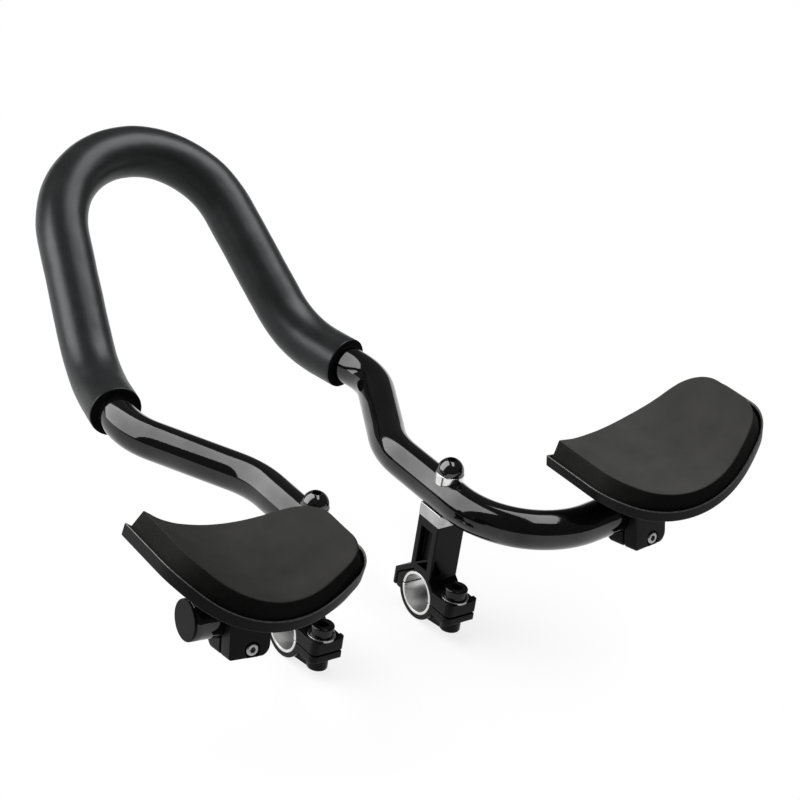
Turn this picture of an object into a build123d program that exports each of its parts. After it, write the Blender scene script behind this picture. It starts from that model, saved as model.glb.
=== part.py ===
"""Clip-on aero handlebar extension.

Frame in millimetres: the origin lies midway between the two handlebar clamps, on the axis of their bores.
+X points to the rider's right along the bores, +Y forward to the U of the grip, +Z up along the posts.
The end plugs are mirror images. The posts and clamps are the same part on both sides.
The plan of the arm rests is the same on both sides too.
"""

import os
from math import cos, radians, sin, tan

from build123d import *

os.makedirs("parts", exist_ok=True)

# Bent tube: corner points of the right half, from the front of the U to the tail under the arm rest
tube_diameter = 22.2
tube_wall = 2.0
clamp_spacing = 91.0
tube_height = 63.0
nose_half_width = 50.3
nose_reach = 292.5
nose_height = 149.0
nose_flat = 2.0
lift_half_width = 71.1
lift_reach = 187.5
lift_bend = 67.2
waist_half_width = 84.6
waist_reach = 125.7
waist_bend = 42.3
run_in_reach = 54.1
run_in_bend = 53.3
tail_setback = 63.9
tail_bend = 50.0
tail_half_width = 158.5
tail_sweep = 5.0
tail_rise = 2.5

# Foam sleeve of the grip
foam_diameter = 30.8
foam_past_lift = 40.8
foam_edge = 0.8
soft_gap = 0.2

# End plug
plug_flange = 1.5
plug_stem = 10.0
plug_edge = 0.7

# Handlebar clamp and post
bar_diameter = 22.2
shim_wall = 1.6
ring_wall = 2.9
riser_width = 19.3
post_depth = 18.4
saddle_rise = 15.3
hook_reach = 21.4
hook_tip_height = 5.5
hook_root_height = 14.6
hook_drop = 5.3
hook_wall = 3.0
hook_roof = 4.2
lug_reach = 29.5
lug_height = 8.2
lug_round = 4.0
spur_width = 2.6
spur_length = 3.4
spur_height = 1.4
jaw_lug = 4.9
split_gap = 0.8
boss_diameter = 11.6
boss_drop = 12.4
jaw_web = 8.0

# Lightening pockets of the post
pocket_depth = 4.0
post_flange = 4.2
post_cap = 5.4
pocket_sill_front = 18.2
pocket_sill_rear = 25.4
pocket_rib = 1.6
gusset_width = 6.0
gusset_height = 11.0
gusset_depth = 2.4
post_edge = 0.8

# Clamp bolt and its washer
clamp_bolt_diameter = 8.0
clamp_bolt_setback = 22.0
clamp_head_diameter = 13.0
clamp_head_height = 6.0
clamp_socket = 6.0
clamp_socket_depth = 4.0
washer_diameter = 15.6
washer_thickness = 1.5
spot_diameter = 16.2
spot_depth = 0.8
head_edge = 0.6

# Saddle, saddle washer and dome head bolt over the post
saddle_wing = 7.8
collar_diameter = 16.0
collar_rise = 14.4
post_bolt_diameter = 8.0
post_bolt_engagement = 18.0
dome_diameter = 15.4
dome_height = 8.5
dome_fullness = 0.5523
dome_socket = 5.0
dome_socket_depth = 4.0

# Arm rest: a gutter shaped tray with a lip and the pad in it, one plan for both sides
bracket_half_spacing = 131.3
rest_outboard = 8.3
rest_forward = 7.2
rest_height = 20.95
rest_roll = 11.1
rest_yaw = 2.3
rest_left = 50.4
rest_right = 65.0
rest_front = 27.0
rest_rear = 52.6
front_left_sag = 7.5
front_right_sag = 14.0
rear_left_sag = 19.3
rear_right_sag = 18.0
square_corner = 1.0
front_corner = 22.3
rear_left_corner = 30.0
rear_right_corner = 22.7
gutter_radius = 84.9
gutter_wing = 27.5
floor_thickness = 3.0
lip_height = 3.3
lip_wall = 1.2
pad_thickness = 13.2
pad_side_gap = 0.6

# Bracket of the arm rest and its pinch screw
bracket_width = 23.6
bracket_rear = 17.0
bracket_front = 13.8
bracket_drop = 17.2
bracket_tilt = 11.0
bracket_left_corner = 1.5
bracket_right_corner = 5.0
bracket_toe = 11.0
slit_setback = 7.5
slit_width = 1.5
pinch_diameter = 4.0
pinch_drop = 13.9
pinch_offset = 1.5
pinch_length = 17.5
pinch_head_diameter = 7.0
pinch_head_height = 4.0
pinch_socket = 3.0
pinch_socket_depth = 2.0
counterbore_diameter = 8.3
counterbore_depth = 3.6

# Clearances
turn_fit = 0.05
seat_gap = 0.05
thread_fit = 0.05
hole_clearance = 0.2

# Derived sizes
tube_radius = tube_diameter / 2
bore_radius = tube_radius - tube_wall
foam_radius = foam_diameter / 2
clamp_x = clamp_spacing / 2
post_top = tube_height - saddle_rise
collar_top = tube_height + collar_rise
bar_radius = bar_diameter / 2
shim_radius = bar_radius + shim_wall
ring_bore = shim_radius + seat_gap
ring_radius = shim_radius + ring_wall
hook_slope = (hook_root_height - hook_tip_height) / (hook_reach - post_depth / 2)
bracket_bore = tube_radius + turn_fit
rest_width = rest_left + rest_right
rest_length = rest_front + rest_rear

tail_direction = Vector(1, tan(radians(tail_sweep)), tan(radians(tail_rise))).normalized()
tail_corner = Vector(clamp_x, -tail_setback, tube_height)


def tail_point(x):
    """Point of the tail's axis at a distance x from the middle of the bar."""
    return tail_corner + tail_direction * ((x - clamp_x) / tail_direction.X)


nose = Vector(nose_half_width, nose_reach, nose_height)
lift = Vector(lift_half_width, lift_reach, tube_height)
waist = Vector(waist_half_width, waist_reach, tube_height)
run_in = Vector(clamp_x, run_in_reach, tube_height)
tail_end = tail_point(tail_half_width)
foam_end = lift + (waist - lift).normalized() * foam_past_lift
nose_turn = radians((nose - lift).get_angle(Vector(-1, 0, 0)))
nose_bend = (nose_half_width - nose_flat / 2) / tan(nose_turn / 2)


def both_sides(points):
    """Corner points from the left end round the U to the right end."""
    left = [Vector(-p.X, p.Y, p.Z) for p in reversed(points)]
    return left + points


def swept_pipe(points, radii, outside, inside):
    """Pipe along straight runs joined by tangent bends."""
    with BuildPart() as pipe:
        with BuildLine() as route:
            FilletPolyline(*both_sides(points), radius=radii[::-1] + radii)
        with BuildSketch(Plane(origin=route.line @ 0, z_dir=route.line % 0)):
            Circle(outside)
            Circle(inside, mode=Mode.SUBTRACT)
        sweep()
    return pipe


def save(piece, name):
    """Label a piece and write it out."""
    piece.part.label = name
    export_step(piece.part, f"parts/{name}.step")


def save_pair(piece, name):
    """Write a right hand piece and its mirror image on the left."""
    save(piece, f"{name}_right")
    with BuildPart() as twin:
        mirror(piece.part, about=Plane.YZ)
    save(twin, f"{name}_left")


def save_same(piece, name):
    """Write a piece of the right post and the same piece on the left post."""
    save(piece, f"{name}_right")
    with BuildPart() as twin:
        add(piece.part.moved(Location((-clamp_spacing, 0, 0))))
    save(twin, f"{name}_left")


def rounded_lug(clamp):
    """Round the left rear corner of a lug, from top to bottom."""
    rear = clamp.edges().filter_by(Axis.Z).group_by(Axis.Y)[0]
    fillet(rear.sort_by(Axis.X)[0], radius=lug_round)


# Extension tube, drilled for the two post bolts
tube_bends = [nose_bend, lift_bend, waist_bend, run_in_bend, tail_bend]
tube_corners = [nose, lift, waist, run_in, tail_corner, tail_end]
tube_blank = swept_pipe(tube_corners, tube_bends, tube_radius, bore_radius)
with BuildPart() as extension_tube:
    add(tube_blank.part)
    with BuildSketch(Plane.XY.offset(tube_height)):
        with Locations((clamp_x, 0), (-clamp_x, 0)):
            Circle(post_bolt_diameter / 2 + hole_clearance)
    extrude(amount=tube_diameter, both=True, mode=Mode.SUBTRACT)
save(extension_tube, "extension_tube")

# Foam sleeve over the U, with rounded ends
sleeve = swept_pipe([nose, lift, foam_end], [nose_bend, lift_bend], foam_radius, tube_radius + soft_gap)
with BuildPart() as grip_foam:
    add(sleeve.part)
    rims = grip_foam.edges().filter_by(GeomType.CIRCLE)
    rims = rims.filter_by(lambda e: abs(e.radius - foam_radius) < soft_gap / 2)
    ends = rims.sort_by(Axis.Y)[:2]
    fillet(ends, radius=foam_edge)
save(grip_foam, "grip_foam")

# End plug: a flange against the tube's end and a stem inside it
with BuildPart() as end_plug:
    with BuildSketch(Plane(origin=tail_end, z_dir=tail_direction)):
        Circle(tube_radius)
    extrude(amount=plug_flange)
    fillet(end_plug.faces().sort_by(Axis(tail_end, tail_direction))[-1].edges(), radius=plug_edge)
    with BuildSketch(Plane(origin=tail_end, z_dir=-tail_direction)):
        Circle(bore_radius - seat_gap)
    extrude(amount=plug_stem)
    chamfer(end_plug.faces().sort_by(Axis(tail_end, tail_direction))[0].edges(), length=plug_edge)
save_pair(end_plug, "end_plug")

# Handlebar clamp: one side outline, parted into riser and jaw along a stepped split line
side = Plane.YZ.offset(clamp_x)


def clamp_outline():
    """Ring, post, front hook and rear lugs seen from the side, drilled for the shims."""
    Circle(ring_radius)
    with Locations((0, post_top / 2)):
        Rectangle(post_depth, post_top)
    Polygon(
        (0, hook_root_height),
        (post_depth / 2, hook_root_height),
        (hook_reach, hook_tip_height),
        (hook_reach, -hook_drop),
        (0, -hook_drop),
        align=None,
    )
    with Locations((-lug_reach / 2, (lug_height - jaw_lug) / 2)):
        Rectangle(lug_reach, lug_height + jaw_lug)
    Circle(ring_bore, mode=Mode.SUBTRACT)


def jaw_side(shift, how):
    """Region below the split line, which steps up under the front hook."""
    roof = hook_tip_height - hook_roof + hook_slope * hook_wall
    front = hook_reach - hook_wall + shift
    reach = 3 * hook_reach
    Polygon(
        (-reach, shift),
        (0, shift),
        (0, shift + hook_roof / 2),
        (bar_radius / 2, roof + shift + hook_slope * (hook_reach - hook_wall - bar_radius / 2)),
        (front, roof + shift - hook_slope * shift),
        (front, -reach),
        (-reach, -reach),
        align=None,
        mode=how,
    )


with BuildPart() as riser:
    with BuildSketch(side):
        clamp_outline()
        jaw_side(split_gap / 2, Mode.SUBTRACT)
    extrude(amount=riser_width / 2, both=True)
    corners = riser.edges().filter_by(Axis.Z).filter_by(lambda e: e.center().Z > hook_root_height)
    fillet(corners, radius=post_edge)
    # pockets in both flanks, with a slanting rib between them
    pocket_front = post_depth / 2 - post_flange
    for flank in (1, -1):
        with BuildSketch(Plane.YZ.offset(clamp_x + flank * riser_width / 2)):
            with BuildLine():
                Polyline(
                    (pocket_front, post_top - post_cap),
                    (-pocket_front, post_top - post_cap),
                    (-pocket_front, pocket_sill_rear),
                    (pocket_front, pocket_sill_front),
                    close=True,
                )
            make_face()
            with BuildLine():
                Polyline(
                    (-pocket_front, pocket_sill_rear - pocket_rib),
                    (-pocket_front, ring_radius + pocket_rib),
                    (
                        pocket_front
                        - 2 * pocket_front
                        * (ring_radius + 2 * pocket_rib - pocket_sill_front)
                        / (pocket_sill_rear - pocket_sill_front),
                        ring_radius + pocket_rib,
                    ),
                    close=True,
                )
            make_face()
        extrude(amount=-flank * pocket_depth, mode=Mode.SUBTRACT)
    # three cornered recess low on the rear face
    inner_edge = clamp_x - riser_width / 2 + pocket_rib
    with BuildSketch(Plane.XZ.offset(post_depth / 2)):
        with BuildLine():
            Polyline(
                (inner_edge, ring_radius),
                (inner_edge, ring_radius + gusset_height),
                (inner_edge + gusset_width, ring_radius),
                close=True,
            )
        make_face()
    extrude(amount=-gusset_depth, mode=Mode.SUBTRACT)
    # rear lug: one corner rounded, a spur left standing on the other
    rounded_lug(riser)
    outer_edge = clamp_x + riser_width / 2
    with BuildSketch(Plane.XZ.offset(lug_reach)):
        with BuildLine():
            Polyline(
                (outer_edge - spur_width, lug_height),
                (outer_edge, lug_height),
                (outer_edge, lug_height + spur_height),
                close=True,
            )
        make_face()
    extrude(amount=-spur_length)
    # bolt holes
    with BuildSketch(Plane.XY.offset(post_top)):
        with Locations((clamp_x, 0)):
            Circle(post_bolt_diameter / 2 + thread_fit)
    extrude(amount=-post_bolt_engagement, mode=Mode.SUBTRACT)
    with BuildSketch(Plane.XY.offset(lug_height)):
        with Locations((clamp_x, -clamp_bolt_setback)):
            Circle(clamp_bolt_diameter / 2 + hole_clearance)
    extrude(amount=-lug_height, mode=Mode.SUBTRACT)
    with BuildSketch(Plane.XY.offset(lug_height)):
        with Locations((clamp_x, -clamp_bolt_setback)):
            Circle(spot_diameter / 2)
    extrude(amount=-spot_depth, mode=Mode.SUBTRACT)
save_same(riser, "riser")

with BuildPart() as clamp_jaw:
    with BuildSketch(side):
        clamp_outline()
        jaw_side(-split_gap / 2, Mode.INTERSECT)
    extrude(amount=riser_width / 2, both=True)
    rounded_lug(clamp_jaw)
    # web from the ring to the threaded boss
    with BuildSketch(side):
        with BuildLine():
            Polyline(
                (0, -ring_radius),
                (-clamp_bolt_setback, -boss_drop),
                (-clamp_bolt_setback, -jaw_lug),
                (-ring_radius, -jaw_lug),
                close=True,
            )
        make_face()
        Circle(ring_bore, mode=Mode.SUBTRACT)
    extrude(amount=jaw_web / 2, both=True)
    with BuildSketch(Plane.XY.offset(-jaw_lug)):
        with Locations((clamp_x, -clamp_bolt_setback)):
            Circle(boss_diameter / 2)
    extrude(amount=jaw_lug - boss_drop)
    with BuildSketch(Plane.XY.offset(-split_gap / 2)):
        with Locations((clamp_x, -clamp_bolt_setback)):
            Circle(clamp_bolt_diameter / 2 + thread_fit)
    extrude(amount=-boss_drop, mode=Mode.SUBTRACT)
save_same(clamp_jaw, "clamp_jaw")

# Half shells of the shim that lines the clamp
for half, name in ((1, "shim_upper"), (-1, "shim_lower")):
    with BuildPart() as shim:
        with BuildSketch(side):
            Circle(shim_radius)
            Circle(bar_radius, mode=Mode.SUBTRACT)
            with Locations((0, half * (split_gap + shim_radius) / 2)):
                Rectangle(2 * shim_radius, shim_radius, mode=Mode.INTERSECT)
        extrude(amount=riser_width / 2, both=True)
    save_same(shim, name)


def socket_bolt(seat, head_radius, head_height, shank_radius, shank_length, socket, depth, dome):
    """Socket head bolt, its head seated on a plane whose normal points out of the head."""
    with BuildPart() as bolt:
        with BuildSketch(Plane(origin=seat.origin, x_dir=seat.x_dir, z_dir=-seat.y_dir)):
            with BuildLine():
                Polyline(
                    (0, 0),
                    (0, -shank_length),
                    (shank_radius, -shank_length),
                    (shank_radius, 0),
                    (head_radius, 0),
                )
                if dome:
                    Line((head_radius, 0), (head_radius, head_edge))
                    Bezier(
                        (head_radius, head_edge),
                        (head_radius, head_edge + dome_fullness * (head_height - head_edge)),
                        (dome_fullness * head_radius, head_height),
                        (0, head_height),
                    )
                else:
                    Line((head_radius, 0), (head_radius, head_height - head_edge))
                    Line((head_radius, head_height - head_edge), (head_radius - head_edge, head_height))
                    Line((head_radius - head_edge, head_height), (0, head_height))
                Line((0, head_height), (0, 0))
            make_face()
        revolve(axis=Axis(seat.origin, seat.z_dir))
        with BuildSketch(seat.offset(head_height)):
            RegularPolygon(radius=socket / 2, side_count=6, major_radius=False)
        extrude(amount=-depth, mode=Mode.SUBTRACT)
    return bolt


# Clamp bolt, threaded into the boss of the jaw, and the washer under its head
lug_seat = Plane((clamp_x, -clamp_bolt_setback, lug_height - spot_depth))
with BuildPart() as clamp_washer:
    with BuildSketch(lug_seat):
        Circle(washer_diameter / 2)
        Circle(clamp_bolt_diameter / 2 + hole_clearance, mode=Mode.SUBTRACT)
    extrude(amount=washer_thickness)
save_same(clamp_washer, "clamp_washer")

clamp_bolt = socket_bolt(
    lug_seat.offset(washer_thickness),
    clamp_head_diameter / 2,
    clamp_head_height,
    clamp_bolt_diameter / 2,
    lug_height - spot_depth + washer_thickness + boss_drop,
    clamp_socket,
    clamp_socket_depth,
    dome=False,
)
save_same(clamp_bolt, "clamp_bolt")

# Saddle between the post and the tube
front_view = Plane.XZ
with BuildPart() as saddle:
    with BuildSketch(front_view):
        with Locations((clamp_x, post_top + saddle_wing / 2)):
            Rectangle(riser_width, saddle_wing)
        with Locations((clamp_x, tube_height)):
            Circle(tube_radius + seat_gap, mode=Mode.SUBTRACT)
    extrude(amount=post_depth / 2, both=True)
    with BuildSketch(Plane.XY.offset(post_top)):
        with Locations((clamp_x, 0)):
            Circle(post_bolt_diameter / 2 + hole_clearance)
    extrude(amount=saddle_wing, mode=Mode.SUBTRACT)
save_same(saddle, "saddle")

# Saddle washer, a collar whose foot follows the tube
with BuildPart() as saddle_washer:
    with BuildSketch(Plane.XY.offset(tube_height)):
        with Locations((clamp_x, 0)):
            Circle(collar_diameter / 2)
            Circle(post_bolt_diameter / 2 + hole_clearance, mode=Mode.SUBTRACT)
    extrude(amount=collar_top - tube_height)
    with BuildSketch(front_view):
        with Locations((clamp_x, tube_height)):
            Circle(tube_radius + seat_gap)
    extrude(amount=collar_diameter, both=True, mode=Mode.SUBTRACT)
save_same(saddle_washer, "saddle_washer")

post_bolt = socket_bolt(
    Plane((clamp_x, 0, collar_top)),
    dome_diameter / 2,
    dome_height,
    post_bolt_diameter / 2,
    collar_top - post_top + post_bolt_engagement - hole_clearance,
    dome_socket,
    dome_socket_depth,
    dome=True,
)
save_same(post_bolt, "post_bolt")

# Arm rests: tray, pad and pinch screw of each side
def rest_outline():
    """Plan of the arm rest: bowed front and rear, straight sides, one square corner at the front left."""
    front_left = (-rest_left, rest_front - front_left_sag)
    front_right = (rest_right, rest_front - front_right_sag)
    rear_left = (-rest_left, rear_left_sag - rest_rear)
    rear_right = (rest_right, rear_right_sag - rest_rear)
    with BuildLine() as rim:
        ThreePointArc(front_right, (0, rest_front), front_left)
        Line(front_left, rear_left)
        ThreePointArc(rear_left, (0, -rest_rear), rear_right)
        Line(rear_right, front_right)
        fillet(rim.vertices().sort_by_distance((*front_left, 0))[0], radius=square_corner)
        fillet(rim.vertices().sort_by_distance((*front_right, 0))[0], radius=front_corner)
        fillet(rim.vertices().sort_by_distance((*rear_left, 0))[0], radius=rear_left_corner)
        fillet(rim.vertices().sort_by_distance((*rear_right, 0))[0], radius=rear_right_corner)
    make_face(rim.edges())


def gutter_section(low, high):
    """Section of a layer of the gutter, between two heights over its floor."""
    wing = radians(gutter_wing)
    reach = rest_width

    def flank(height):
        radius = gutter_radius - height
        root = (radius * sin(wing), gutter_radius - radius * cos(wing))
        return root, (root[0] + reach * cos(wing), root[1] + reach * sin(wing))

    (low_u, low_z), (low_tip_u, low_tip_z) = flank(low)
    (high_u, high_z), (high_tip_u, high_tip_z) = flank(high)
    with BuildLine() as section:
        ThreePointArc((-low_u, low_z), (0, low), (low_u, low_z))
        Polyline((low_u, low_z), (low_tip_u, low_tip_z), (high_tip_u, high_tip_z), (high_u, high_z))
        ThreePointArc((high_u, high_z), (0, high), (-high_u, high_z))
        Polyline((-high_u, high_z), (-high_tip_u, high_tip_z), (-low_tip_u, low_tip_z), (-low_u, low_z))
    make_face(section.edges())


def gutter_layer(plan_plane, low, high):
    """Layer of the gutter over the whole plan and beyond."""
    with BuildPart() as layer:
        with BuildSketch(Plane(origin=plan_plane.origin, x_dir=plan_plane.x_dir, z_dir=-plan_plane.y_dir)):
            gutter_section(low, high)
        extrude(amount=rest_length, both=True)
    return layer


for side, hand in ((1, "right"), (-1, "left")):
    # planes: the tube's tail seen along its axis, the bracket tilted on it, and the plan of the rest
    axle = Vector(tail_direction.X, side * tail_direction.Y, side * tail_direction.Z)
    forward = Vector(-side * sin(radians(tail_sweep)), cos(radians(tail_sweep)), 0)
    outward = Vector(side * cos(radians(tail_sweep)), sin(radians(tail_sweep)), 0)
    seat = tail_point(bracket_half_spacing)
    seat = Vector(side * seat.X, seat.Y, seat.Z)
    tail_plane = Plane(origin=seat, x_dir=forward, z_dir=axle)
    bracket_plane = Plane(tail_plane * Rot(0, 0, -bracket_tilt))
    rest_origin = seat + outward * rest_outboard + forward * rest_forward + Vector(0, 0, rest_height)
    plan_plane = Plane(Plane(rest_origin) * Rot(0, 0, side * rest_yaw) * Rot(0, -side * rest_roll, 0))
    pinch_plane = Plane(
        origin=bracket_plane.from_local_coords(Vector(-bracket_rear, -pinch_drop, pinch_offset)),
        x_dir=bracket_plane.z_dir,
        z_dir=-bracket_plane.x_dir,
    )

    # tray: the floor cut to the plan, a lip round its edge, and the bracket under it
    with BuildPart() as tray_floor:
        add(gutter_layer(plan_plane, -floor_thickness, 0).part)
        with BuildSketch(plan_plane):
            rest_outline()
        extrude(amount=rest_width, both=True, mode=Mode.INTERSECT)

    with BuildPart() as tray_lip:
        add(gutter_layer(plan_plane, -floor_thickness / 2, lip_height).part)
        with BuildSketch(plan_plane):
            rest_outline()
            offset(amount=-lip_wall, mode=Mode.SUBTRACT)
        extrude(amount=rest_width, both=True, mode=Mode.INTERSECT)

    with BuildPart() as tray_bracket:
        with BuildSketch(bracket_plane):
            with BuildLine():
                Polyline(
                    (-bracket_rear, -bracket_drop),
                    (bracket_front - bracket_toe, -bracket_drop),
                    (bracket_front, bracket_toe - bracket_drop),
                    (bracket_front, 2 * rest_height),
                    (-bracket_rear, 2 * rest_height),
                    close=True,
                )
            make_face()
        extrude(amount=bracket_width / 2, both=True)
        under = tray_bracket.faces().sort_by(Axis(bracket_plane.origin, bracket_plane.y_dir))[0]
        flanks = under.edges().filter_by(Axis(bracket_plane.origin, bracket_plane.x_dir))
        flanks = flanks.sort_by(Axis(bracket_plane.origin, bracket_plane.z_dir))
        fillet(flanks[0], radius=bracket_left_corner)
        under = tray_bracket.faces().sort_by(Axis(bracket_plane.origin, bracket_plane.y_dir))[0]
        flanks = under.edges().filter_by(Axis(bracket_plane.origin, bracket_plane.x_dir))
        flanks = flanks.sort_by(Axis(bracket_plane.origin, bracket_plane.z_dir))
        fillet(flanks[-1], radius=bracket_right_corner)
        add(gutter_layer(plan_plane, -floor_thickness / 2, rest_width / 2).part, mode=Mode.SUBTRACT)

    with BuildPart() as armrest_tray:
        add(tray_floor.part)
        add(tray_lip.part)
        add(tray_bracket.part)
        # bore for the tube and the slit that lets the pinch screw close it
        with BuildSketch(bracket_plane):
            Circle(bracket_bore)
            with Locations((-slit_setback, -bracket_drop / 2)):
                Rectangle(slit_width, bracket_drop)
        extrude(amount=bracket_width, both=True, mode=Mode.SUBTRACT)
        # pinch screw: counterbore and clearance hole behind the slit, thread in front of it
        with BuildSketch(pinch_plane):
            Circle(counterbore_diameter / 2)
        extrude(amount=-counterbore_depth, mode=Mode.SUBTRACT)
        with BuildSketch(pinch_plane):
            Circle(pinch_diameter / 2 + hole_clearance)
        extrude(amount=slit_setback - bracket_rear, mode=Mode.SUBTRACT)
        with BuildSketch(pinch_plane):
            Circle(pinch_diameter / 2 + thread_fit)
        extrude(amount=-bracket_rear - bracket_front, mode=Mode.SUBTRACT)
    save(armrest_tray, f"armrest_tray_{hand}")

    # pad: a sheet of foam on the tray's floor, its walls square to the gutter
    with BuildPart() as pad_bed:
        add(gutter_layer(plan_plane, -floor_thickness, soft_gap).part)
        with BuildSketch(plan_plane):
            rest_outline()
            offset(amount=-lip_wall - pad_side_gap)
        extrude(amount=rest_width, both=True, mode=Mode.INTERSECT)
    bed_faces = pad_bed.faces().filter_by(lambda f: f.normal_at().dot(plan_plane.z_dir) > 0.5)

    with BuildPart() as arm_pad:
        for face in bed_faces:
            thicken(face, amount=pad_thickness)
    save(arm_pad, f"arm_pad_{hand}")

    armrest_screw = socket_bolt(
        pinch_plane.offset(-counterbore_depth),
        pinch_head_diameter / 2,
        pinch_head_height,
        pinch_diameter / 2,
        pinch_length,
        pinch_socket,
        pinch_socket_depth,
        dome=False,
    )
    save(armrest_screw, f"armrest_screw_{hand}")
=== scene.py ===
"""Clip-on aero handlebar extension, dressed for a studio picture.

The pieces come in the order in which the real one is put together: the bent tube and its foam grip, the
end plugs, the two handlebar clamps with their bolts, the arm rests, and last the studio and its camera.
"""

from math import asin, cos, radians, sin, tan

import bmesh
import bpy
from mathutils import Matrix, Vector, noise


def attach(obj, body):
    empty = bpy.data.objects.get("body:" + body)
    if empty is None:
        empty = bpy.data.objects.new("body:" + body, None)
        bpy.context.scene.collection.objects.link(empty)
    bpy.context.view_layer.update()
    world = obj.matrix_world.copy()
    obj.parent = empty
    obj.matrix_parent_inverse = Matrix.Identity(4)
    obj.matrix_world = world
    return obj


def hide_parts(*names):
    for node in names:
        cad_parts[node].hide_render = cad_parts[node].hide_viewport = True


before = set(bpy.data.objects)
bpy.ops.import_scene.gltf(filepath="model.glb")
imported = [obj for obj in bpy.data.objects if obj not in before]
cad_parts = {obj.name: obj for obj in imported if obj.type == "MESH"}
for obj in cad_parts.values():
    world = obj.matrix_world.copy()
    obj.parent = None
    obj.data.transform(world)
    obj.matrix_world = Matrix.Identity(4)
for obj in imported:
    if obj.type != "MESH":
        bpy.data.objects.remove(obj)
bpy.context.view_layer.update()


# Extension tube
# One length of alloy tube, bent on a mandrel into a U that rises at the front and runs out to both sides
# at the back. It is painted gloss black and baked, so it has a clear, slightly wavy shine.
tube_radius = 0.0111
tube_bore = 0.0091
tube_around = 72
tube_step = 0.004
run_side = 0.0455
run_height = 0.063
tail_sweep = radians(5.0)
tail_rise = radians(2.5)
tail_reach = 0.1585
tail_corner = Vector((run_side, -0.0639, run_height))
tail_direction = Vector((1, tan(tail_sweep), tan(tail_rise))).normalized()
tail_end = tail_corner + tail_direction * ((tail_reach - tail_corner.x) / tail_direction.x)
nose = Vector((0.0503, 0.2925, 0.149))
lift = Vector((0.0711, 0.1875, run_height))
waist = Vector((0.0846, 0.1257, run_height))
run_in = Vector((run_side, 0.0541, run_height))
tube_corners = [nose, lift, waist, run_in, tail_corner, tail_end]
tube_bends = [0.05743, 0.0672, 0.0423, 0.0533, 0.050]
tube_black = (0.0022, 0.0022, 0.0024, 1)
tube_dust = (0.012, 0.012, 0.012, 1)


class Flow:
    """A socket of a finish's node tree. Sums on it add Math nodes, and node() adds any other."""

    def __init__(self, socket):
        self.socket = socket

    def node(self, kind, settings=None, sockets=None, output=0):
        tree = self.socket.id_data
        made = tree.nodes.new(kind)
        for name, value in (settings or {}).items():
            setattr(made, name, value)
        for name, value in (sockets or {}).items():
            if isinstance(value, Flow):
                tree.links.new(value.socket, made.inputs[name])
            else:
                made.inputs[name].default_value = value
        return Flow(made.outputs[output])

    def sum(self, operation, first, second):
        return self.node("ShaderNodeMath", {"operation": operation}, {0: first, 1: second})

    def __add__(self, other):
        return self.sum("ADD", self, other)

    __radd__ = __add__

    def __sub__(self, other):
        return self.sum("SUBTRACT", self, other)

    def __rsub__(self, other):
        return self.sum("SUBTRACT", other, self)

    def __mul__(self, other):
        return self.sum("MULTIPLY", self, other)

    __rmul__ = __mul__

    def __pow__(self, other):
        return self.sum("POWER", self, other)

    def __rpow__(self, other):
        return self.sum("POWER", other, self)

    def grain(self, scale, detail, roughness=0.5):
        """Noise of about one metre over scale between its lumps, read at this place."""
        sockets = {"Vector": self, "Scale": scale, "Detail": detail, "Roughness": roughness}
        return self.node("ShaderNodeTexNoise", None, sockets)

    def cells(self, scale):
        """Distance to the middle of the nearest of many small cells."""
        return self.node("ShaderNodeTexVoronoi", None, {"Vector": self, "Scale": scale})

    def stretch(self, by):
        """The same place, drawn out by a Mapping node's scale."""
        return self.node("ShaderNodeMapping", None, {"Vector": self, "Scale": by})

    def between(self, low, high):
        """The value brought from this range to 0 and 1, and held at its ends."""
        sockets = {"Value": self, "From Min": low, "From Max": high}
        return self.node("ShaderNodeMapRange", {"clamp": True}, sockets)

    def tint(self, first, second):
        """A colour from first at 0 to second at 1."""
        return self.node("ShaderNodeMix", {"data_type": "RGBA"}, {0: self, 6: first, 7: second}, output=2)

    def relief(self, depth, strength):
        """A normal from this height, with depth in metres between 0 and 1."""
        return self.node("ShaderNodeBump", None, {"Height": self, "Distance": depth, "Strength": strength})


def new_finish(name, varying, **fixed):
    """A material whose varying sockets are given by a function of the place on the piece."""
    material = bpy.data.materials.new(name)
    material.use_nodes = True
    tree = material.node_tree
    shader = tree.nodes["Principled BSDF"]
    for socket, value in fixed.items():
        shader.inputs[socket.replace("_", " ")].default_value = value
    place = Flow(tree.nodes.new("ShaderNodeTexCoord").outputs["Object"])
    for socket, flow in varying(place).items():
        tree.links.new(flow.socket, shader.inputs[socket])
    return material


def new_piece(name, bm, material, slot, body, *stands_for):
    """Puts a finished mesh into the scene as a piece that rides on a body."""
    mesh = bpy.data.meshes.new(name)
    bm.to_mesh(mesh)
    bm.free()
    mesh.shade_smooth()
    mesh.materials.append(material)
    piece = bpy.data.objects.new(name, mesh)
    bpy.context.scene.collection.objects.link(piece)
    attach(piece, body)
    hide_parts(*stands_for)
    return piece


def both_sides(points):
    """Corner points from the left end round the U to the right end."""
    return [Vector((-p.x, p.y, p.z)) for p in reversed(points)] + points


def drawn(bm, ring, way, step):
    """Draws a ring of edges straight along a way, and gives the ring at its end."""
    steps = max(1, round(way.length / step))
    for _ in range(steps):
        made = bmesh.ops.extrude_edge_only(bm, edges=ring)["geom"]
        ends = [v for v in made if isinstance(v, bmesh.types.BMVert)]
        bmesh.ops.translate(bm, verts=ends, vec=way / steps)
        ring = [e for e in made if isinstance(e, bmesh.types.BMEdge) and all(v in ends for v in e.verts)]
    return ring


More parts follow.
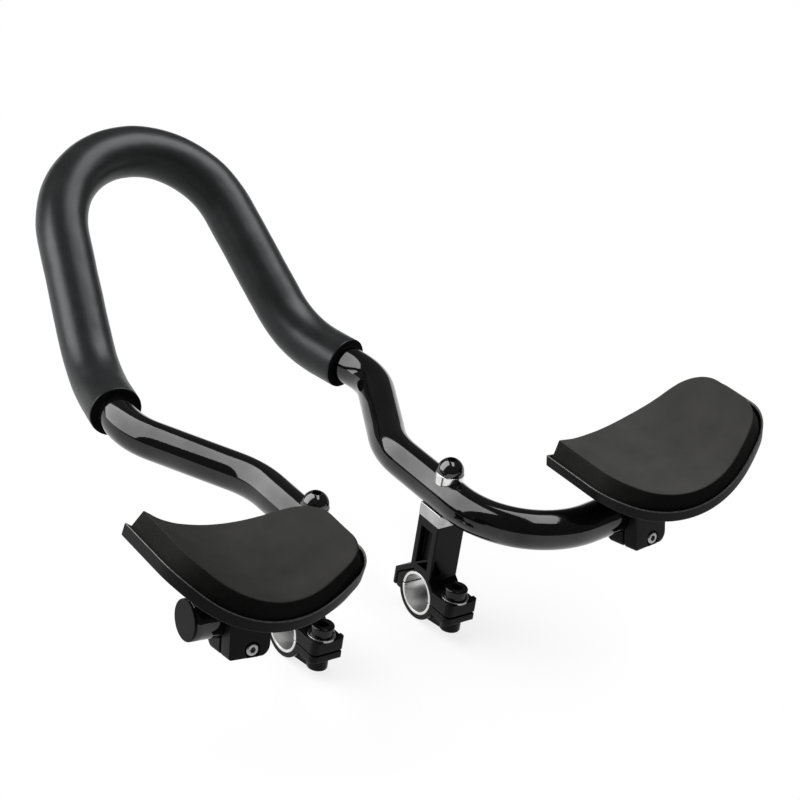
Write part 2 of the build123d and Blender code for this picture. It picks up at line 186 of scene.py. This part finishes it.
def bent_wall(bm, corners, bends, radius, around, step):
    """The wall of a bent tube: a ring drawn along the runs and spun round the bends. Gives both end rings."""
    here = corners[0]
    heading = (corners[1] - here).normalized().to_track_quat("Z", "Y").to_matrix().to_4x4()
    start = Matrix.Translation(here) @ heading
    made = bmesh.ops.create_circle(bm, segments=around, radius=radius, matrix=start)
    first = list(dict.fromkeys(e for v in made["verts"] for e in v.link_edges))
    ring = first
    for corner, after, bend in zip(corners[1:-1], corners[2:], bends):
        into = (corner - here).normalized()
        out = (after - corner).normalized()
        turn = into.angle(out)
        setback = bend * tan(turn / 2)
        ring = drawn(bm, ring, corner - into * setback - here, step)
        here = corner - into * setback
        axis = into.cross(out).normalized()
        middle = here + axis.cross(into) * bend
        steps = max(3, round(turn * bend / step))
        spun = bmesh.ops.spin(bm, geom=ring, cent=middle, axis=axis, angle=turn, steps=steps)
        ring = [e for e in spun["geom_last"] if isinstance(e, bmesh.types.BMEdge)]
        here = corner + out * setback
    return first, drawn(bm, ring, corners[-1] - here, step)


def bent_pipe(corners, bends, outside, inside, around, step):
    """A closed pipe of two bent walls, joined at both ends. Gives its mesh, outer end rings and end faces."""
    bm = bmesh.new()
    outer = bent_wall(bm, corners, bends, outside, around, step)
    inner = bent_wall(bm, corners, bends, inside, around, step)
    ends = []
    for a, b in zip(outer, inner):
        ends += bmesh.ops.bridge_loops(bm, edges=a + b)["faces"]
    bmesh.ops.recalc_face_normals(bm, faces=bm.faces)
    return bm, outer, ends


def gloss_paint(place):
    peel = place.grain(420, 1.0)
    dust = place.grain(5200, 2.0).between(0.66, 0.76)
    wipe = place.grain(38, 3.0).between(0.35, 0.75)
    return {
        "Base Color": dust.tint(tube_black, tube_dust),
        "Roughness": 0.05 + 0.035 * wipe + 0.1 * dust,
        "Coat Weight": 0.45 * wipe,
        "Normal": peel.relief(0.00003, 0.5),
    }


gloss_black = new_finish("gloss_black_paint", gloss_paint, Specular_IOR_Level=0.4, Coat_Roughness=0.06)
tube_mesh, _, _ = bent_pipe(
    both_sides(tube_corners), tube_bends[::-1] + tube_bends, tube_radius, tube_bore, tube_around, tube_step
)
new_piece("painted_tube", tube_mesh, gloss_black, "gloss_black", "bar", "extension_tube")


# Foam grip
# A sleeve of closed cell foam rubber, ground round and cut square at both ends. It is blown onto the U of the
# tube with air and holds there by its tight fit. Its skin is smooth but never quite even.
foam_radius = 0.0154
foam_bore = 0.0113
foam_around = 96
foam_step = 0.0025
foam_edge = 0.0008
foam_swell = (0.00022, 55)
foam_ripple = (0.00007, 210)
foam_run = 0.0408
foam_end = lift + (waist - lift).normalized() * foam_run
foam_corners = both_sides([nose, lift, foam_end])
foam_bends = tube_bends[1::-1] + tube_bends[:2]
foam_dark = (0.0105, 0.0108, 0.0112, 1)
foam_light = (0.0182, 0.0185, 0.0189, 1)
foam_cool = (0.95, 0.985, 1, 1)
cut_dark = (0.002, 0.002, 0.002, 1)
cut_light = (0.006, 0.006, 0.006, 1)


def rounded(bm, edges, radius, segments):
    """Rounds these edges over."""
    bmesh.ops.bevel(
        bm,
        geom=edges,
        offset=radius,
        offset_type="OFFSET",
        segments=segments,
        profile=0.5,
        affect="EDGES",
        clamp_overlap=False,
        material=-1,
    )


def uneven(bm, *waves):
    """Moves the skin in and out by waves of noise, each given as a height and a count to the metre."""
    for v in bm.verts:
        v.co += v.normal * sum(height * noise.noise(v.co * count) for height, count in waves)


def foam_rubber(place):
    lumps = place.grain(90, 3.0)
    pores = place.cells(2300).between(0.0, 0.45)
    skin = place.grain(900, 3.0, 0.6)
    return {
        "Base Color": (0.6 * lumps + 0.4 * skin).between(0.3, 0.7).tint(foam_dark, foam_light),
        "Roughness": 0.28 + 0.1 * skin + 0.03 * lumps,
        "Normal": (0.5 * pores + 0.5 * skin).relief(0.00010, 0.4),
    }


def foam_cut(place):
    pores = place.cells(1500).between(0.0, 0.5)
    return {
        "Base Color": pores.tint(cut_dark, cut_light),
        "Roughness": 0.8 + 0.15 * pores,
        "Normal": pores.relief(0.0003, 0.6),
    }


grip_rubber = new_finish("grip_foam_rubber", foam_rubber, Specular_IOR_Level=0.22, Specular_Tint=foam_cool)
cut_rubber = new_finish("grip_foam_cut", foam_cut, Specular_IOR_Level=0.03)
foam_mesh, foam_rims, foam_ends = bent_pipe(
    foam_corners, foam_bends, foam_radius, foam_bore, foam_around, foam_step
)
for face in foam_ends:
    face.material_index = 1
rounded(foam_mesh, foam_rims[0] + foam_rims[1], foam_edge, 3)
foam_mesh.normal_update()
uneven(foam_mesh, foam_swell, foam_ripple)
grip = new_piece("foam_grip", foam_mesh, grip_rubber, "foam", "bar", "grip_foam")
grip.data.materials.append(cut_rubber)


# End plugs
# Push-in caps of black plastic, moulded with a fine grain, that close the two ends of the tube.
# They hold by friction, with a thin flange against the cut end.
hands = {"right": 1, "left": -1}
hard_angle = radians(30)
same_corner = 2e-6
plug_ease = 0.0002
plug_dark = (0.0045, 0.0045, 0.0047, 1)
plug_light = (0.008, 0.008, 0.0083, 1)


def cad_copy(node):
    """A copy of a CAD solid, with the corners of its faces joined."""
    bm = bmesh.new()
    bm.from_mesh(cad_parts[node].data)
    bmesh.ops.remove_doubles(bm, verts=bm.verts, dist=same_corner)
    return bm


def eased(bm, radius, shortest=0.0):
    """The solid with its hard edges rounded over, but for those too short to take it."""
    long = [e for e in bm.edges if e.is_manifold and e.calc_length() > shortest]
    rounded(bm, [e for e in long if e.calc_face_angle() > hard_angle], radius, 2)
    return bm


def eased_piece(node, bm, material, slot, body):
    """An eased copy as a piece that stands for its node, with flat faces kept flat in the shading."""
    piece = new_piece(f"{node}_eased", bm, material, slot, body, node)
    flat = piece.modifiers.new("flat faces", "WEIGHTED_NORMAL")
    flat.keep_sharp = True
    return piece


def moulded_plastic(place):
    grain = place.grain(2600, 2.0)
    flow = place.grain(60, 2.0)
    return {
        "Base Color": flow.between(0.3, 0.7).tint(plug_dark, plug_light),
        "Roughness": 0.36 + 0.14 * grain + 0.06 * flow,
        "Normal": grain.relief(0.00008, 0.45),
    }


black_plastic = new_finish("moulded_black_plastic", moulded_plastic, Specular_IOR_Level=0.07)
for hand in hands:
    node = f"end_plug_{hand}"
    eased_piece(node, eased(cad_copy(node), plug_ease), black_plastic, "black_plastic", "bar")


# Handlebar clamps
# Die-cast alloy, the riser in one with its post and the jaw below it, shot blasted and powder coated black.
# The coat is satin with a faint pebble, and it rounds over every edge.
clamp_ease = 0.0005
clamp_shortest = 0.00025
coat_dark = (0.003, 0.003, 0.0032, 1)
coat_light = (0.0055, 0.0055, 0.0058, 1)


def powder_coat(place):
    pebble = place.grain(1500, 2.0)
    drift = place.grain(80, 2.0)
    return {
        "Base Color": drift.between(0.3, 0.7).tint(coat_dark, coat_light),
        "Roughness": 0.26 + 0.12 * pebble + 0.05 * drift,
        "Normal": pebble.relief(0.00009, 0.4),
    }


satin_black = new_finish("satin_powder_coat", powder_coat, Specular_IOR_Level=0.1)
for hand in hands:
    for node in (f"riser_{hand}", f"clamp_jaw_{hand}"):
        clamp_mesh = eased(cad_copy(node), clamp_ease, clamp_shortest)
        eased_piece(node, clamp_mesh, satin_black, "satin_black", "bar")


# Shims, saddles and collars
# Turned and milled alloy, left bright: the half shells that line the clamp, the saddle between post and
# tube, and the collar under the dome bolt. Fine tool marks run round them.
shim_ease = 0.0002
saddle_ease = 0.0003


def tooled_alloy(name, dark, light, marks_per_metre, stains_per_metre, roughness, depth, strength):
    """Bare alloy with tool marks and stains. Its roughness is given as least, by marks and by stains."""
    least, by_marks, by_stains = roughness

    def varying(place):
        marks = place.stretch(marks_per_metre).grain(1.0, 2.0)
        stains = place.grain(stains_per_metre, 3.0)
        return {
            "Base Color": stains.between(0.35, 0.7).tint(dark, light),
            "Roughness": least + by_marks * marks + by_stains * stains,
            "Normal": marks.relief(depth, strength),
        }

    return new_finish(name, varying, Metallic=1.0)


silver = tooled_alloy(
    "bright_alloy",
    dark=(0.66, 0.66, 0.66, 1),
    light=(0.80, 0.80, 0.79, 1),
    marks_per_metre=(900, 9000, 9000),
    stains_per_metre=140,
    roughness=(0.24, 0.1, 0.08),
    depth=0.00002,
    strength=0.35,
)
grey_alloy = tooled_alloy(
    "milled_alloy",
    dark=(0.36, 0.36, 0.365, 1),
    light=(0.50, 0.50, 0.50, 1),
    marks_per_metre=(9000, 9000, 700),
    stains_per_metre=160,
    roughness=(0.18, 0.12, 0.06),
    depth=0.00003,
    strength=0.4,
)
collar_alloy = tooled_alloy(
    "turned_alloy",
    dark=(0.70, 0.70, 0.70, 1),
    light=(0.84, 0.84, 0.83, 1),
    marks_per_metre=(700, 700, 9000),
    stains_per_metre=160,
    roughness=(0.1, 0.08, 0.05),
    depth=0.00002,
    strength=0.3,
)
for hand in hands:
    for node in (f"shim_upper_{hand}", f"shim_lower_{hand}"):
        eased_piece(node, eased(cad_copy(node), shim_ease), silver, "silver_alloy", "bar")
    for node, finish in ((f"saddle_{hand}", grey_alloy), (f"saddle_washer_{hand}", collar_alloy)):
        eased_piece(node, eased(cad_copy(node), saddle_ease), finish, "silver_alloy", "bar")


# Bolts and washers
# Hex socket bolts of steel, blackened and oiled, the post bolts with a polished dome. The clamp bolts are
# drawn down on plain washers of zinc plated steel.
bolt_ease = 0.0002
oxide_dark = (0.0025, 0.0025, 0.0028, 1)
oxide_light = (0.006, 0.006, 0.0063, 1)
zinc_dark = (0.26, 0.26, 0.265, 1)
zinc_light = (0.42, 0.42, 0.42, 1)


def black_oxide(place):
    wear = place.grain(700, 3.0)
    return {
        "Base Color": wear.between(0.35, 0.75).tint(oxide_dark, oxide_light),
        "Roughness": 0.04 + 0.05 * wear,
        "Normal": wear.relief(0.00002, 0.2),
    }


def zinc_plate(place):
    spangle = place.grain(1100, 3.0)
    return {
        "Base Color": spangle.between(0.35, 0.7).tint(zinc_dark, zinc_light),
        "Roughness": 0.2 + 0.16 * spangle,
        "Normal": spangle.relief(0.00002, 0.25),
    }


black_steel = new_finish("blackened_steel", black_oxide, Specular_IOR_Level=0.25)
dome_steel = new_finish("polished_black_steel", black_oxide, Specular_IOR_Level=0.9)
plated_steel = new_finish("zinc_plated_steel", zinc_plate, Metallic=1.0)
for hand in hands:
    node = f"clamp_washer_{hand}"
    eased_piece(node, eased(cad_copy(node), bolt_ease), plated_steel, "steel", "bar")
    for node, finish in ((f"clamp_bolt_{hand}", black_steel), (f"post_bolt_{hand}", dome_steel)):
        eased_piece(node, eased(cad_copy(node), bolt_ease), finish, "black_steel", "bar")


# Arm rest trays
# Injection moulded nylon gutters with a lip all round, in one with the bracket that turns on the tube until
# its plated pinch screw is tightened. The top of the lip carries a painted highlight: its colour is lighter
# than the tray's.
tail_seat = Vector((0.1313, -0.056393, 0.066746))
rest_outboard = 0.0083
rest_forward = 0.0072
rest_height = 0.02095
rest_roll = radians(11.1)
rest_yaw = radians(2.3)
gutter_radius = 0.0849
gutter_wing = radians(27.5)
lip_height = 0.0033
lip_margin = 0.0004
tray_ease = 0.0005
screw_ease = 0.00015
bracket_tilt = radians(-11.0)
bracket_rear, bracket_front = -0.0171, 0.0139
bracket_half_width = 0.0119
bracket_sole = -0.0172
bracket_foot = 0.001
sole_margin = 0.00001
round_top = -0.0122
round_height = 0.005
round_left, round_right = -0.0103, 0.0068
closer_middle = Vector((-0.01515, bracket_sole - bracket_foot + 0.00055, 0.0015))
closer_size = (0.0036, 0.001, 0.0066, 1)
tray_dark = (0.004, 0.004, 0.004, 1)
tray_light = (0.007, 0.007, 0.007, 1)
rim_painted_highlight_dark = (0.060, 0.060, 0.060, 1)
rim_painted_highlight_light = (0.120, 0.120, 0.118, 1)


def tray_nylon(place):
    grain = place.grain(2200, 2.0)
    flow = place.grain(45, 3.0)
    return {
        "Base Color": flow.between(0.3, 0.7).tint(tray_dark, tray_light),
        "Roughness": 0.28 + 0.12 * grain + 0.06 * flow,
        "Normal": grain.relief(0.00007, 0.4),
    }


# Painted highlight: the lip's colour is much lighter than the tray's, to stand in for the light caught along
# its top.
def lip_nylon_painted_highlight(place):
    highlight_streaks = place.grain(500, 3.0)
    return {
        "Base Color": highlight_streaks.between(0.35, 0.7).tint(rim_painted_highlight_dark, rim_painted_highlight_light),
        "Roughness": 0.3 + 0.12 * highlight_streaks,
        "Normal": highlight_streaks.relief(0.00004, 0.3),
    }


def rest_frame(side):
    """Where the plan of an arm rest stands: over the tail of its side, turned and rolled."""
    outward = Vector((side * cos(tail_sweep), sin(tail_sweep), 0)) * rest_outboard
    forward = Vector((-side * sin(tail_sweep), cos(tail_sweep), 0)) * rest_forward
    seat = Vector((side * tail_seat.x, tail_seat.y, tail_seat.z + rest_height))
    turn = Matrix.Rotation(side * rest_yaw, 4, "Z") @ Matrix.Rotation(-side * rest_roll, 4, "Y")
    return Matrix.Translation(seat + outward + forward) @ turn


def over_floor(point):
    """Height of a point of the plan's space over the floor of the gutter."""
    root = gutter_radius * sin(gutter_wing)
    bow = Vector((point.x, gutter_radius - point.z))
    if abs(point.x) < bow.y * tan(gutter_wing):
        return gutter_radius - bow.length
    rise = gutter_radius * (1 - cos(gutter_wing)) + (abs(point.x) - root) * tan(gutter_wing)
    return (point.z - rise) * cos(gutter_wing)


def bracket_frame(side):
    """The bracket's own space: x forward, y up and z along the tail of the tube, tilted on it."""
    axle = Vector((tail_direction.x, side * tail_direction.y, side * tail_direction.z))
    forward = Vector((-side * sin(tail_sweep), cos(tail_sweep), 0))
    turn = Matrix((forward, axle.cross(forward), axle)).transposed().to_4x4()
    seat = Vector((side * tail_seat.x, tail_seat.y, tail_seat.z))
    return Matrix.Translation(seat) @ turn @ Matrix.Rotation(bracket_tilt, 4, "Z")


def deepened(bm, space):
    """The tray with its bracket a little deeper, its edges eased and the screw's bore closed below."""
    back = space.inverted()
    for v in bm.verts:
        p = back @ v.co
        in_bracket = bracket_rear < p.x < bracket_front and abs(p.z) < bracket_half_width
        if in_bracket and p.y < round_top:
            share = 1.0 if p.y < bracket_sole + sole_margin else 0.0
            if p.z > round_right or p.z < round_left:
                share = (round_top - p.y) / round_height
            v.co = space @ Vector((p.x, p.y - bracket_foot * share, p.z))
    eased(bm, tray_ease)
    closer = space @ Matrix.Translation(closer_middle) @ Matrix.Diagonal(closer_size)
    bmesh.ops.create_cube(bm, size=1.0, matrix=closer)
    return bm


tray_black = new_finish("tray_nylon", tray_nylon, Specular_IOR_Level=0.1)
tray_rim_highlighted = new_finish("tray_rim_painted_highlight", lip_nylon_painted_highlight, Specular_IOR_Level=0.4)
for hand, side in hands.items():
    node = f"armrest_tray_{hand}"
    tray_mesh = deepened(cad_copy(node), bracket_frame(side))
    to_plan = rest_frame(side).inverted()
    # Faces high on the lip take the painted highlight finish.
    for face in tray_mesh.faces:
        if over_floor(to_plan @ face.calc_center_median()) > lip_height - lip_margin:
            face.material_index = 1
    tray = eased_piece(node, tray_mesh, tray_black, "black_plastic", f"{hand}_armrest")
    tray.data.materials.append(tray_rim_highlighted)
    node = f"armrest_screw_{hand}"
    eased_piece(node, eased(cad_copy(node), screw_ease), plated_steel, "steel", f"{hand}_armrest")


# Arm pads
# Cushions cut from thick sheets of dense foam and stuck into the trays, where they follow the gutter. Their
# upper edge is crisp, the skin matt and a little uneven. Both have the same plan, square at the front left.
rest_left = 0.0504
rest_right = 0.065
rest_rear = -0.0526
front_middle, front_radius = Vector((-0.001338, -0.137104)), 0.164109
rear_middle, rear_radius = Vector((0.008181, 0.044220)), 0.097165
rest_corners = {"front_left": 0.001, "front_right": 0.0223, "rear_left": 0.030, "rear_right": 0.0227}
least_corner = 0.0008
plan_step = 0.0015
same_point = 1e-6
pad_inset = 0.0018
pad_lift = 0.0002
pad_thickness = 0.0132
pad_edge = 0.0007
pad_step = 0.002
pad_rows = (
    (58, -rest_left, Vector((1, 0, 0))),
    (40, rest_rear, Vector((0, 1, 0))),
    (6, 0, Vector((0, 0, 1))),
)
pad_wall_tilt = 0.3
pad_swell = (0.00018, 60)
pad_ripple = (0.00005, 240)
pad_dark = (0.0234, 0.0234, 0.0225, 1)
pad_light = (0.0344, 0.034, 0.0328, 1)
pad_wall_painted_shade_dark = (0.007, 0.007, 0.007, 1)
pad_wall_painted_shade_light = (0.016, 0.016, 0.0155, 1)


def pad_foam(place):
    cloud = place.grain(55, 4.0)
    skin = place.grain(1600, 3.0, 0.6)
    pores = place.cells(3200).between(0.0, 0.45)
    return {
        "Base Color": (0.7 * cloud + 0.3 * skin).between(0.3, 0.7).tint(pad_dark, pad_light),
        "Roughness": 0.7 + 0.18 * skin,
        "Normal": (0.5 * pores + 0.5 * skin).relief(0.00012, 0.5),
    }


# Painted shade: the cut walls are matt and open-pored, and their colour is darker than the skin's to stand in
# for the shade that falls on them.
def pad_wall_foam_painted_shade(place):
    pores = place.cells(1700).between(0.0, 0.5)
    cloud = place.grain(70, 3.0)
    return {
        "Base Color": (0.5 * pores + 0.5 * cloud).between(0.2, 0.8).tint(pad_wall_painted_shade_dark, pad_wall_painted_shade_light),
        "Roughness": 0.8 + 0.15 * pores,
        "Normal": pores.relief(0.0002, 0.5),
    }


pad_skin = new_finish("pad_foam_skin", pad_foam, Specular_IOR_Level=0.03)
pad_wall_shaded = new_finish("pad_foam_wall_painted_shade", pad_wall_foam_painted_shade, Specular_IOR_Level=0.03)


def corner_middle(side_x, radius, bow_middle, bow_radius, turn):
    """Middle of the round that joins a straight side to a bowed end."""
    x = side_x - radius if side_x > 0 else side_x + radius
    rise = ((bow_radius - radius) ** 2 - (x - bow_middle.x) ** 2) ** 0.5
    return Vector((x, bow_middle.y + turn * rise))


def rest_plan(bm, inset):
    """The plan of an arm rest as one closed line, drawn round its four corners and two bowed ends."""
    left, right = inset - rest_left, rest_right - inset
    rounds = {name: max(radius - inset, least_corner) for name, radius in rest_corners.items()}
    front, rear = front_radius - inset, rear_radius - inset
    front_right = corner_middle(right, rounds["front_right"], front_middle, front, 1)
    front_left = corner_middle(left, rounds["front_left"], front_middle, front, 1)
    rear_left = corner_middle(left, rounds["rear_left"], rear_middle, rear, -1)
    rear_right = corner_middle(right, rounds["rear_right"], rear_middle, rear, -1)
    turns = [
        (front_right, rounds["front_right"], Vector((1, 0)), front_right - front_middle),
        (front_middle, front, front_right - front_middle, front_left - front_middle),
        (front_left, rounds["front_left"], front_left - front_middle, Vector((-1, 0))),
        (rear_left, rounds["rear_left"], Vector((-1, 0)), rear_left - rear_middle),
        (rear_middle, rear, rear_left - rear_middle, rear_right - rear_middle),
        (rear_right, rounds["rear_right"], rear_right - rear_middle, Vector((1, 0))),
    ]
    pen = None
    for middle, radius, first, last in turns:
        start = (middle + first.normalized() * radius).to_3d()
        if pen is None:
            pen = bmesh.ops.create_vert(bm, co=start)["vert"][0]
        else:
            pen = bmesh.ops.extrude_vert_indiv(bm, verts=[pen])["verts"][0]
            pen.co = start
        angle = abs(first.angle_signed(last))
        steps = max(3, round(angle * radius / plan_step))
        spun = bmesh.ops.spin(bm, geom=[pen], cent=middle.to_3d(), axis=(0, 0, 1), angle=angle, steps=steps)
        pen = [v for v in spun["geom_last"] if isinstance(v, bmesh.types.BMVert)][0]
    bmesh.ops.remove_doubles(bm, verts=bm.verts, dist=same_point)
    bmesh.ops.contextual_create(bm, geom=[v for v in bm.verts if len(v.link_edges) == 1])


def on_gutter(point):
    """A point over the flat plan, laid onto the gutter at its height over the floor."""
    root = gutter_radius * sin(gutter_wing)
    lean = asin(max(-root, min(root, point.x)) / gutter_radius)
    flank = point.x - gutter_radius * sin(lean)
    floor = gutter_radius * (1 - cos(lean)) + flank * tan(lean)
    return Vector((point.x - point.z * sin(lean), point.y, floor + point.z * cos(lean)))


pads = {}
for hand, side in hands.items():
    pad_mesh = bmesh.new()
    rest_plan(pad_mesh, pad_inset)
    bmesh.ops.edgeloop_fill(pad_mesh, edges=pad_mesh.edges[:])
    under = pad_mesh.faces[:]
    raised = bmesh.ops.extrude_face_region(pad_mesh, geom=under, use_keep_orig=True)["geom"]
    top = [g for g in raised if isinstance(g, bmesh.types.BMVert)]
    bmesh.ops.translate(pad_mesh, verts=top, vec=(0, 0, pad_thickness))
    rim = [e for e in pad_mesh.edges if all(v in top for v in e.verts)]
    rounded(pad_mesh, rim, pad_edge, 3)
    for count, start, line in pad_rows:
        for n in range(1, count):
            bmesh.ops.bisect_plane(
                pad_mesh,
                geom=pad_mesh.verts[:] + pad_mesh.edges[:] + pad_mesh.faces[:],
                plane_co=line * (start + pad_step * n),
                plane_no=line,
            )
    pad_mesh.normal_update()
    # The steep cut walls take the second finish, whose darker colour is painted shade.
    for face in pad_mesh.faces:
        face.material_index = 1 if abs(face.normal.z) < pad_wall_tilt else 0
    for v in pad_mesh.verts:
        v.co = on_gutter(v.co + Vector((0, 0, pad_lift)))
    bmesh.ops.transform(pad_mesh, matrix=rest_frame(side), verts=pad_mesh.verts)
    bmesh.ops.recalc_face_normals(pad_mesh, faces=pad_mesh.faces)
    uneven(pad_mesh, pad_swell, pad_ripple)
    pad = new_piece(f"foam_pad_{hand}", pad_mesh, pad_skin, "foam", f"{hand}_armrest", f"arm_pad_{hand}")
    pad.data.materials.append(pad_wall_shaded)
    pads[hand] = pad


# Studio
# A white floor that runs out of sight, one large soft box at the front left, another over head, and the
# camera behind the rider's left shoulder. Two more boxes are linked to the foam alone, for its own streaks.
floor_level = -0.0157
floor_half = 200.0
floor_grey = (0.45, 0.45, 0.45, 1)
floor_pale = (0.9, 0.9, 0.9, 1)
shadow_from, shadow_to = 0.02, 0.12
glow_at_clamps, glow_gained_away = 0.8, 0.195
fill_light = 0.09
light_aim = Vector((0, 0.08, 0.06))
watts_for_glow = 4

floor_bm = bmesh.new()
floor_place = Matrix.Translation((0, 0, floor_level))
bmesh.ops.create_grid(floor_bm, x_segments=1, y_segments=1, size=floor_half, matrix=floor_place)
floor_mesh = bpy.data.meshes.new("floor")
floor_bm.to_mesh(floor_mesh)
floor_bm.free()
floor = bpy.data.objects.new("floor", floor_mesh)
bpy.context.scene.collection.objects.link(floor)

# The camera, metal and glass meet a white glow, a little weaker by the clamps so that their shadow stays.
floor_white = bpy.data.materials.new("floor_white")
floor_white.use_nodes = True
floor_tree = floor_white.node_tree
floor_tree.nodes.clear()
ray = floor_tree.nodes.new("ShaderNodeLightPath")
rays = [Flow(ray.outputs[f"Is {kind} Ray"]) for kind in ("Camera", "Glossy", "Transmission")]
seen = (rays[0] + rays[1] + rays[2]).between(0, 1)
spot = Flow(floor_tree.nodes.new("ShaderNodeTexCoord").outputs["Object"])
across = spot.node("ShaderNodeSeparateXYZ", None, {0: spot}, output="X")
along = spot.node("ShaderNodeSeparateXYZ", None, {0: spot}, output="Y")
across = across.sum("ABSOLUTE", across, 0.0) - run_side
away = ((across * across + along * along) ** 0.5).between(shadow_from, shadow_to)
card = seen.node("ShaderNodeBsdfDiffuse", None, {"Color": seen.tint(floor_grey, floor_pale)})
glow = seen.node("ShaderNodeEmission", None, {"Color": (1, 1, 1, 1), "Strength": 1.0})
share = seen * (glow_at_clamps + glow_gained_away * away)
blend = seen.node("ShaderNodeMixShader", None, {0: share, 1: card, 2: glow})
floor_out = floor_tree.nodes.new("ShaderNodeOutputMaterial")
floor_tree.links.new(blend.socket, floor_out.inputs["Surface"])
floor_mesh.materials.append(floor_white)

world = bpy.data.worlds.new("studio")
bpy.context.scene.world = world
world.use_nodes = True
world.node_tree.nodes["Background"].inputs["Color"].default_value = (1, 1, 1, 1)
world.node_tree.nodes["Background"].inputs["Strength"].default_value = fill_light


def soft_box(name, place, spin, width, height, glow):
    """A rectangular soft box at a place, turned to the object, of a given brightness over its face."""
    lamp = bpy.data.lights.new(name, "AREA")
    lamp.shape = "RECTANGLE"
    lamp.size = width
    lamp.size_y = height
    lamp.energy = watts_for_glow * glow * width * height
    box = bpy.data.objects.new(name, lamp)
    facing = (light_aim - Vector(place)).to_track_quat("-Z", "Y").to_matrix()
    box.matrix_world = Matrix.Translation(place) @ (facing @ Matrix.Rotation(radians(spin), 3, "Z")).to_4x4()
    box.visible_camera = False
    bpy.context.scene.collection.objects.link(box)
    return box


def linked(box, pieces, state="INCLUDE"):
    """Lets a box light these pieces alone, or all but these."""
    lit = bpy.data.collections.new(f"{box.name}_link")
    for piece in pieces:
        lit.objects.link(piece)
    for member in lit.collection_objects:
        member.light_linking.link_state = state
    box.light_linking.receiver_collection = lit


front_left_box = soft_box(
    "front_left_box", (-0.429, 0.465, 0.525), spin=16.3, width=0.83, height=1.136, glow=3.7
)
soft_box("over_head_box", (0.35, 0.008, 1.727), spin=-11.5, width=1.685, height=0.522, glow=3.5)
grip_box = soft_box("grip_box", (0.727, 0.122, 1.076), spin=0.0, width=0.8, height=0.8, glow=6.0)
side_box = soft_box("grip_side_box", (-0.954, 0.565, 0.419), spin=0.0, width=0.5, height=0.8, glow=9.0)
linked(grip_box, [grip, pads["right"]])
linked(side_box, [grip])
linked(front_left_box, [grip], state="EXCLUDE")

camera_data = bpy.data.cameras.new("camera")
camera_data.lens = 122.622
camera_data.sensor_width = 36
camera = bpy.data.objects.new("camera", camera_data)
bpy.context.scene.collection.objects.link(camera)
to_right = Vector((0.8024552, -0.5798144, 0.1409996))
to_top = Vector((0.1799371, 0.4604208, 0.8692729))
to_eye = Vector((-0.5689361, -0.6721815, 0.4737972))
eye = Vector((-0.8254457, -0.9767762, 0.8207679))
turned = Matrix((to_right, to_top, to_eye)).transposed().to_4x4()
camera.matrix_world = Matrix.Translation(eye) @ turned
bpy.context.scene.camera = camera

bpy.context.scene.view_settings.view_transform = "Standard"
